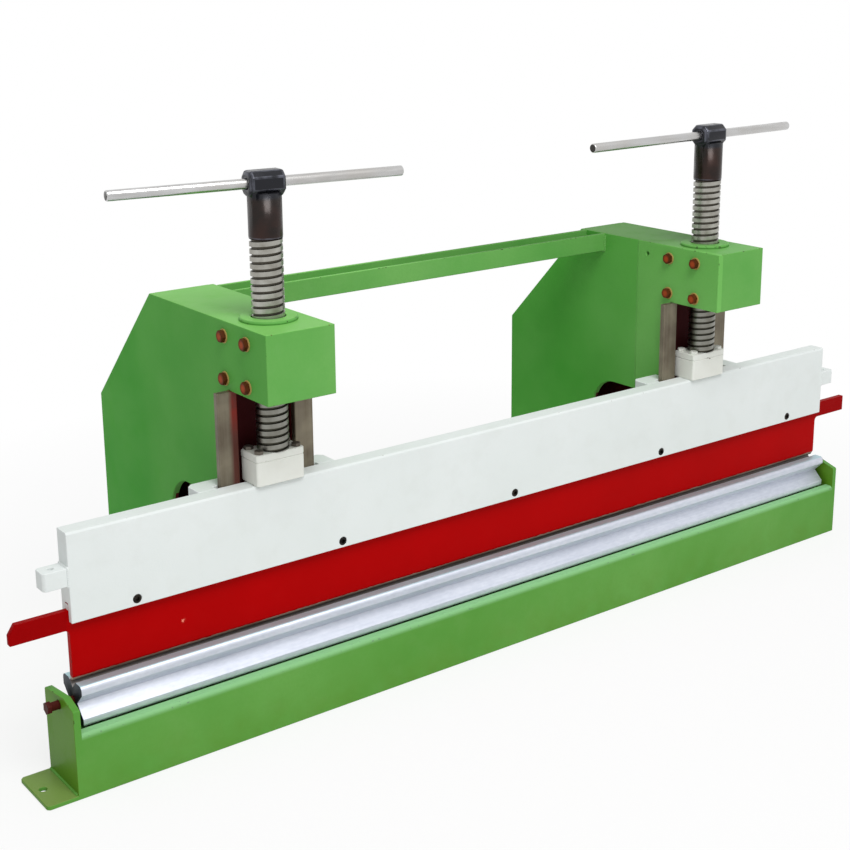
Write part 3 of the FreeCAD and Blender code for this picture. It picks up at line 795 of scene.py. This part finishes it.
# %% [markdown]
# Each frame is a box of five plates, welded from inside and ground flush, so no groove shows where
# they meet. The side plates are rounded only along their outer faces, and the front plate only
# above and below.

# %% Frames
corner_faces = 0
for side in SIDES:
    front_low, front_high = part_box(side + "_head_front_plate")
    between = [(0, front_low.x), (0, front_high.x)]
    front = between + [(1, front_high.y)]
    behind = front + [(2, front_high.z)]
    plates = [("outer_side_plate", frame_enamel, between),
              ("inner_side_plate", frame_enamel if side == "left" else paler_frame_enamel, between),
              ("head_front_plate", green_enamel, front),
              ("top_plate", green_enamel, behind),
              ("back_plate", green_enamel, behind),
              ("collar_ring", green_enamel, [])]
    for plate, finish, joints in plates:
        corner_faces += rounded(side + "_" + plate, finish, joints=joints)
print("corner faces on the frames:", corner_faces)

# %% Bed and beam
ends = [(0, corner.x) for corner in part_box("bed_front_plate")]
bed_pieces = {"bed_front_plate": bed_enamel_with_lit_band, "bed_rear_plate": bed_enamel_with_lit_band,
              "left_end_plate": bed_enamel, "right_end_plate": bed_enamel}
corner_faces = sum(rounded(name, finish, joints=ends) for name, finish in bed_pieces.items())
corner_faces += rounded("rear_beam", green_enamel)
print("corner faces on the bed and the beam:", corner_faces)

# %% Ram, lugs, keepers, guide strips and thrust housings
housing_round = 1.4 * MM
faces = [rounded("ram_plate", white_enamel)]
for side in SIDES:
    faces.append(rounded(side + "_lug", white_enamel))
    for place in PLACES:
        faces.append(rounded(side + "_" + place + "_keeper", white_enamel))
        strip = primed_strip if (side, place) == ("left", "outer") else ground_strip
        faces.append(rounded(side + "_" + place + "_guide_bar", strip, fine_round))
    for housing in (side + "_thrust_block", side + "_thrust_cap"):
        faces.append(rounded(housing, cream_enamel, housing_round, 3, keep=on_outline(housing)))
print("rounded ram pieces:", len(faces), "with", sum(faces), "corner faces")


# %% Blade, die, hubs and handle bars
def off_underside(point):
    """The boss's underside runs into the round shank, so the edges about it stay as they are."""
    return not boss_bottom - 1 * MM < point.z < boss_bottom + 5 * MM


die_round = 0.3 * MM
hub_round = 1.8 * MM
bar_round = 0.4 * MM
faces = [rounded("punch_blade", red_enamel, fine_round),
         rounded("die", milled_steel, die_round, flat=False)]
for side in SIDES:
    faces.append(rounded(side + "_hub", black_steel, hub_round, 4, keep=off_underside))
    faces.append(rounded(side + "_handle_bar", drawn_steel, bar_round))
print("rounded working pieces:", len(faces), "with", sum(faces), "corner faces")

# %% [markdown]
# ## Pieces that keep their CAD shape
# The threads are already cut in the CAD, and what lies inside the housings is hardly seen. Such a
# piece keeps its own mesh and only gets the right finish, chosen by its slot in the record.

# %% Finishes for the pieces that stay
finish_of_slot = {"green_paint": green_enamel, "red_oxide": maroon_primer,
                  "primed_bolts": bolt_primer, "dark_bolts": black_bolt,
                  "screw_steel": screw_steel, "bronze": bronze,
                  "white_paint": white_enamel, "cream_paint": cream_enamel, "red_paint": red_enamel,
                  "bare_steel": ground_strip, "bright_steel": drawn_steel, "die_steel": milled_steel,
                  "black_steel": black_steel}
for name, obj in nodes.items():
    obj.data.materials.clear()
    obj.data.materials.append(finish_of_slot[slot_of[name]])
print("finishes set on", len(nodes), "CAD pieces")

# %% [markdown]
# ## Bolts
# Four bolts hold each nut block from either side, and four smaller ones hold each thrust cap. A hex
# head is a prism whose corners were turned off on a lathe, so its top edge dips at each corner. The
# head is made once from that rule, and a Geometry Nodes tree sets copies of it on a cloud of
# points, each turned by a random angle, as bolts stop where they are tight. The middle of the mesh
# carries the mark where the primer gets its painted highlight.

# %% Rings of points
AROUND = 36
TURNS = [2 * math.pi * k / AROUND for k in range(AROUND)]


def ring(reach, height):
    """A loop of points round the axis. Reach and height are one number or a list, one per point."""
    columns = [value if isinstance(value, list) else [value] * AROUND for value in (reach, height)]
    return [(r * math.cos(turn), r * math.sin(turn), h) for turn, r, h in zip(TURNS, *columns)]


def hexagon(across):
    """The reach of a hexagon's sides from its axis, which grows from each flat to its corners."""
    from_flat = [(turn + math.pi / 6) % (math.pi / 3) - math.pi / 6 for turn in TURNS]
    return [across / 2 / math.cos(angle) for angle in from_flat]


def ring_mesh(name, rings):
    """Joins loops of points, bottom to top, into one closed skin."""
    points = [point for loop in rings for point in loop]
    skin = [tuple(reversed(range(AROUND))), tuple(range(len(points) - AROUND, len(points)))]
    for first in range(0, len(points) - AROUND, AROUND):
        for k in range(AROUND):
            a = first + k
            b = first + (k + 1) % AROUND
            skin.append((a, b, b + AROUND, a + AROUND))
    mesh = bpy.data.meshes.new(name)
    mesh.from_pydata(points, [], skin)
    return mesh


# %% One hex head, one washer
cone_slope = math.tan(math.radians(30))


def hex_head(name, across, height):
    """A hex head: a cone, as from a lathe, cuts the corners of its top."""
    reaches = hexagon(across)
    top_radius = 0.94 * (across / 2)
    cut = [height - (reach - top_radius) * cone_slope for reach in reaches]
    mesh = ring_mesh(name, [ring(reaches, 0), ring(reaches, cut), ring(top_radius, height),
                            ring(0.4 * top_radius, height)])
    # The middle mark tells the primer where to paint its highlight.
    mark = mesh.attributes.new("middle", "FLOAT", "POINT")
    for k in range(3 * AROUND, 4 * AROUND):
        mark.data[k].value = 1.0
    return bpy.data.objects.new(name, mesh)


def disc(name, radius, thick):
    """A washer under a head, its edge slightly rounded; the head hides the hole."""
    rings = [ring(radius, 0), ring(radius, 0.7 * thick), ring(0.96 * radius, thick)]
    return bpy.data.objects.new(name, ring_mesh(name, rings))


# %% How a Geometry Nodes tree starts, ends and runs
def start_tree(name, inputs):
    """A tree with named inputs. Gives back the tree, the inputs' identifiers and their sockets."""
    tree = bpy.data.node_groups.new(name, "GeometryNodeTree")
    identifiers = {}
    for label, (kind, value) in inputs.items():
        socket = tree.interface.new_socket(label, in_out="INPUT", socket_type="NodeSocket" + kind)
        if value is not None:
            socket.default_value = value
        identifiers[label] = socket.identifier
    tree.interface.new_socket("Shape", in_out="OUTPUT", socket_type="NodeSocketGeometry")
    return tree, identifiers, tree.nodes.new("NodeGroupInput").outputs


def end_tree(tree, shape, finish):
    """Copies become real mesh and get their finish."""
    solid = node(tree, "GeometryNodeRealizeInstances", {0: shape})
    coat = {"Geometry": solid.outputs[0], "Material": finish}
    painted = node(tree, "GeometryNodeSetMaterial", coat)
    tree.links.new(painted.outputs[0], tree.nodes.new("NodeGroupOutput").inputs[0])


def grow(name, mesh, tree, identifiers, values):
    """Runs a tree on a mesh and gives back the plain mesh that it makes."""
    work = add_object(name + "_work", mesh)
    modifier = work.modifiers.new(tree.name, "NODES")
    modifier.node_group = tree
    for label, value in values.items():
        modifier[identifiers[label]] = value
    return plain_mesh(work, name)


# %% A tree that sets pieces on points
def setting_out_tree():
    tree, identifiers, given = start_tree("set out on points", {
        "Points": ("Geometry", None), "Piece": ("Object", None), "Finish": ("Material", None),
        "Turn Seed": ("Int", 1)})
    piece = node(tree, "GeometryNodeObjectInfo", {"Object": given["Piece"]}).outputs["Geometry"]
    named = {"Name": "outward"}
    named = node(tree, "GeometryNodeInputNamedAttribute", named, data_type="FLOAT_VECTOR")
    outward = {"Vector": named.outputs["Attribute"]}
    facing = node(tree, "FunctionNodeAlignRotationToVector", outward, axis="Z")
    limits = {2: 0.0, 3: math.pi / 3, "Seed": given["Turn Seed"]}
    turn = node(tree, "FunctionNodeRandomValue", limits, data_type="FLOAT")
    about = {"Axis": (0, 0, 1), "Angle": turn.outputs[1]}
    both = {0: facing.outputs[0], 1: node(tree, "FunctionNodeAxisAngleToRotation", about).outputs[0]}
    turned = node(tree, "FunctionNodeRotateRotation", both, rotation_space="LOCAL")
    placing = {"Points": given["Points"], "Instance": piece, "Rotation": turned.outputs[0]}
    placed = node(tree, "GeometryNodeInstanceOnPoints", placing)
    end_tree(tree, placed.outputs[0], given["Finish"])
    return tree, identifiers


set_out, set_out_inputs = setting_out_tree()


def on_points(name, piece, places, finish, seed=1):
    """Sets a copy of piece on each (point, outward direction) and gives back one plain mesh."""
    mesh = bpy.data.meshes.new(name + "_points")
    mesh.from_pydata([point for point, outward in places], [], [])
    directions = mesh.attributes.new("outward", "FLOAT_VECTOR", "POINT")
    for k, (point, outward) in enumerate(places):
        directions.data[k].vector = outward
    values = {"Piece": piece, "Finish": finish, "Turn Seed": seed}
    return grow(name, mesh, set_out, set_out_inputs, values)


print("inputs of the tree:", list(set_out_inputs))

# %% [markdown]
# The places come from the boxes of the CAD bolts. A box reaches one washer past the outer bolts'
# middles, so moving in by a washer's radius gives the four middles on each side of a frame. The
# small bolts have no washers, and there the box reaches to a corner of the head. On the left they
# are dull steel, and on the right they were painted with their cap.

# %% Sizes of the bolts
nut_bolt_across = 13 * MM
nut_bolt_head = 5.3 * MM
washer_radius = 8.5 * MM
washer_thick = 1.2 * MM
cap_bolt_across = 10 * MM
cap_bolt_head = 4 * MM
cap_bolt_corner = cap_bolt_across / math.sqrt(3)
cap_bolt_finish = {"left": dull_bolt, "right": cream_enamel}
big_head = hex_head("big_head", nut_bolt_across, nut_bolt_head)
small_head = hex_head("small_head", cap_bolt_across, cap_bolt_head)
washer = disc("washer", washer_radius, washer_thick)
print("bolt heads", round(nut_bolt_across / MM), "and", round(cap_bolt_across / MM), "mm across")


# %% Bolts of the nut blocks and the thrust caps
def inset(low, high, by):
    return (low + by, high - by)


def frame_faces(side):
    """Where the outer faces of a frame's two side plates lie along the bending line."""
    boxes = [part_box(side + "_" + place + "_side_plate") for place in PLACES]
    return min(low.x for low, high in boxes), max(high.x for low, high in boxes)


def join(pieces, name):
    """Joins plain meshes into the first of them."""
    with bpy.context.temp_override(active_object=pieces[0], selected_editable_objects=pieces):
        bpy.ops.object.join()
    pieces[0].name = name
    return pieces[0]


for number, side in enumerate(SIDES):
    low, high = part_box(side + "_nut_bolts")
    seats = [(Vector((x, y, z)), Vector((sign, 0, 0)))
             for x, sign in zip(frame_faces(side), (-1, 1))
             for y in inset(low.y, high.y, washer_radius)
             for z in inset(low.z, high.z, washer_radius)]
    on_washers = [(point + outward * washer_thick, outward) for point, outward in seats]
    heads = on_points(side + "_big_heads", big_head, on_washers, bolt_primer, number)
    washers = on_points(side + "_washers", washer, seats, washer_paint, number)
    stand_for(join([heads, washers], side + "_nut_bolts_dressed"), side + "_nut_bolts")
    low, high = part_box(side + "_cap_bolts")
    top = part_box(side + "_thrust_cap")[1].z
    seats = [(Vector((x, y, top)), Vector((0, 0, 1)))
             for x in inset(low.x, high.x, cap_bolt_corner)
             for y in inset(low.y, high.y, cap_bolt_corner)]
    name = side + "_cap_bolts"
    finish = cap_bolt_finish[side]
    stand_for(on_points(name + "_dressed", small_head, seats, finish, number + 5), name)
print("nut block bolts and cap bolts set on both sides")

# %% [markdown]
# ## Clamp screws and pivot bolts
# Five socket screws clamp the blade in the ram, their heads sunk level with its face. The same tree
# sets them out in a row. The pivot bolt at each end of the die has a plain shank and a large head,
# and is rounded as the plates are.

# %% Socket heads and pivot bolts
clamp_radius = 5 * MM
clamp_socket = 5 * MM
clamp_depth = 2.5 * MM
clamp_count = 5


def socket_head(name, radius, across, depth):
    """The face of a sunk socket screw: a rounded rim, a flat, and a hexagonal socket."""
    reaches = hexagon(across)
    rings = [ring(radius, -2 * depth), ring(radius, -0.2 * depth), ring(0.93 * radius, 0),
             ring(reaches, 0), ring(reaches, -depth)]
    return bpy.data.objects.new(name, ring_mesh(name, rings))


low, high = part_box("blade_screws")
first, last = inset(low.x, high.x, clamp_radius)
seats = [(Vector((first + k * (last - first) / (clamp_count - 1), low.y, (low.z + high.z) / 2)),
          Vector((0, -1, 0))) for k in range(clamp_count)]
socket = socket_head("socket_head", clamp_radius, clamp_socket, clamp_depth)
stand_for(on_points("blade_screws_dressed", socket, seats, black_bolt, 3), "blade_screws")
for side in SIDES:
    rounded(side + "_pivot_bolt", pivot_primer, fine_round)
print("clamp screws:", len(seats))

# %% [markdown]
# ## Weld beads
# The frames, the beam, the lugs and the foot are welded on. A bead is a round rope of metal laid in
# a corner, with a ripple every few millimetres where the welder paused. A Geometry Nodes tree makes
# it from any path: the path is cut into short steps, its radius swells and shrinks with the length
# along it, and a circle is carried along.

# %% A tree that lays a weld bead
bead = 2.2 * MM
lug_bead = 1.6 * MM
seam_bead = 0.7 * MM
ripple_pitch = 2.6 * MM
ripple_depth = 0.12


def weld_tree():
    tree, identifiers, given = start_tree("weld bead", {
        "Path": ("Geometry", None), "Bead Radius": ("Float", bead), "Finish": ("Material", None),
        "Ripple Pitch": ("Float", ripple_pitch), "Ripple Depth": ("Float", ripple_depth)})
    pitch_length = given["Ripple Pitch"]
    path = node(tree, "GeometryNodeMeshToCurve", {"Mesh": given["Path"]}).outputs["Curve"]
    steps = {"Curve": path, "Length": maths("DIVIDE", pitch_length, 4.0)}
    fine = node(tree, "GeometryNodeResampleCurve", steps, mode="LENGTH").outputs["Curve"]
    length = node(tree, "GeometryNodeSplineParameter").outputs["Length"]
    turns = maths("DIVIDE", length, pitch_length)
    wave = maths("SINE", product(turns, 2 * math.pi))
    swell = maths("MULTIPLY_ADD", wave, given["Ripple Depth"], 1.0)
    rim = node(tree, "GeometryNodeCurvePrimitiveCircle", {"Resolution": 10, "Radius": 1.0})
    carried = {"Curve": fine, "Profile Curve": rim.outputs["Curve"],
               "Scale": product(swell, given["Bead Radius"]), "Fill Caps": True}
    rope = node(tree, "GeometryNodeCurveToMesh", carried)
    end_tree(tree, rope.outputs["Mesh"], given["Finish"])
    return tree, identifiers


weld_nodes, weld_inputs = weld_tree()


def weld(name, runs, radius, body, slot, finish):
    """Lays a bead along each run of points and lets it ride on a body."""
    points = []
    edges = []
    for run in runs:
        edges += [(len(points) + k, len(points) + k + 1) for k in range(len(run) - 1)]
        points += run
    mesh = bpy.data.meshes.new(name + "_path")
    mesh.from_pydata(points, edges, [])
    made = grow(name, mesh, weld_nodes, weld_inputs, {"Bead Radius": radius, "Finish": finish})
    made.data.shade_smooth()
    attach(made, body)
    return len(made.data.polygons)


print("inputs of the tree:", list(weld_inputs))

# %% Beads on the frames, the beam and the lugs
on_frame = ("frame", "green_paint", green_enamel)
bed_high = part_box("bed_rear_plate")[1]
beam_low, beam_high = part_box("rear_beam")
total = 0
for side in SIDES:
    faces_x = frame_faces(side)
    foot_runs = [[(x, bed_high.y, 0.5 * bead), (x, bed_high.y, bed_high.z - bead)] for x in faces_x]
    total += weld(side + "_frame_foot_weld", foot_runs, bead, *on_frame)
    x = faces_x[1] if side == "left" else faces_x[0]
    end_run = [(x, beam_low.y, beam_high.z - bead), (x, beam_low.y, beam_low.z),
               (x, beam_high.y, beam_low.z), (x, beam_high.y, beam_high.z - bead)]
    total += weld(side + "_beam_weld", [end_run], bead, *on_frame)
    low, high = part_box(side + "_lug")
    x = high.x if side == "left" else low.x
    corners = [(low.y, low.z), (low.y, high.z), (high.y, high.z), (high.y, low.z), (low.y, low.z)]
    lug_run = [(x, y, z) for y, z in corners]
    total += weld(side + "_lug_weld", [lug_run], lug_bead, "ram", "white_paint", white_enamel)
print("weld bead faces:", total)

# %% Bead of the foot and the seam of the right frame
seam_y = 86 * MM
end_low, end_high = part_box("left_end_plate")
plate_x = -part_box("right_end_plate")[1].x
run = [(plate_x, end_low.y + bead, foot_top), (plate_x, end_high.y - bead, foot_top)]
total = weld("left_foot_weld", [run], bead, "frame", "green_paint", bed_enamel)
low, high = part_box("right_inner_side_plate")
throat_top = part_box("right_outer_guide_bar")[0].z
run = [(low.x, seam_y, throat_top + bead), (low.x, seam_y, high.z - bead)]
total += weld("right_frame_seam", [run], seam_bead, *on_frame)
print("weld bead faces:", total)

# %% [markdown]
# ## Floor and light
# The floor and the background are plain white. A white floor lit by soft light is never quite white
# in a picture, so a camera ray sees part of a plain white glow there, and the rest is real shading,
# which keeps the soft shadow. The light is a pale sky all round and one large lamp, high in front
# and a little to the left.


# %% Floor
def background_share(tree, share):
    """Share for rays from the camera and from mirror-like surfaces, 0 for the light itself."""
    path = tree.nodes.new("ShaderNodeLightPath").outputs
    seen = maths("MAXIMUM", path["Is Camera Ray"], path["Is Glossy Ray"])
    return product(maths("MAXIMUM", seen, path["Is Transmission Ray"]), share)


floor_half = 9.0
floor_drop = 0.5 * MM
floor_grey = (0.9, 0.9, 0.9, 1)
white = (1, 1, 1, 1)
shadow_reach = (0.7, 1.3)


def floor_finish():
    material = bpy.data.materials.new("white_floor")
    material.use_nodes = True
    tree = material.node_tree
    shader = tree.nodes["Principled BSDF"]
    shader.inputs["Base Color"].default_value = floor_grey
    shader.inputs["Roughness"].default_value = 0.9
    glow = node(tree, "ShaderNodeEmission", {"Color": white, "Strength": 1.0}).outputs[0]
    away = distance(node(tree, "ShaderNodeTexCoord").outputs["Object"])
    share = background_share(tree, ramp(away, *shadow_reach, 0.8, 1.0))
    both = node(tree, "ShaderNodeMixShader", {0: share, 1: shader.outputs[0], 2: glow})
    tree.links.new(both.outputs[0], tree.nodes["Material Output"].inputs["Surface"])
    return material


floor_mesh = bpy.data.meshes.new("floor")
square = [(-1, -1), (1, -1), (1, 1), (-1, 1)]
floor_mesh.from_pydata([(x * floor_half, y * floor_half, -floor_drop) for x, y in square], [],
                       [(0, 1, 2, 3)])
floor_mesh.materials.append(floor_finish())
floor = add_object("floor", floor_mesh)
floor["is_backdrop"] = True
print("floor", round(2 * floor_half), "m wide")

# %% Light
sky_level = 0.46
key_watts = 92
key_size = 1.8
key_place = Vector((-0.5, -1.9, 3.4))
key_target = Vector((0, 0, 0.3))
world = bpy.data.worlds.new("studio")
bpy.context.scene.world = world
world.use_nodes = True
sky = world.node_tree
strength = ramp(background_share(sky, 1.0), 0, 1, sky_level, 1.0)
sky.nodes["Background"].inputs["Color"].default_value = white
sky.links.new(strength, sky.nodes["Background"].inputs["Strength"])
key = add_object("key", bpy.data.lights.new("key", "AREA"))
key.data.energy = key_watts
key.data.size = key_size
key.location = key_place
key.rotation_euler = (key_target - key_place).to_track_quat("-Z", "Y").to_euler()
bpy.context.scene.view_settings.view_transform = "Standard"
print("sky level", sky_level, "lamp", key_watts, "W")

# %% Sizes and finish
low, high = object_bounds()
print("visual box in mm:", [round(v / MM, 1) for v in high - low])
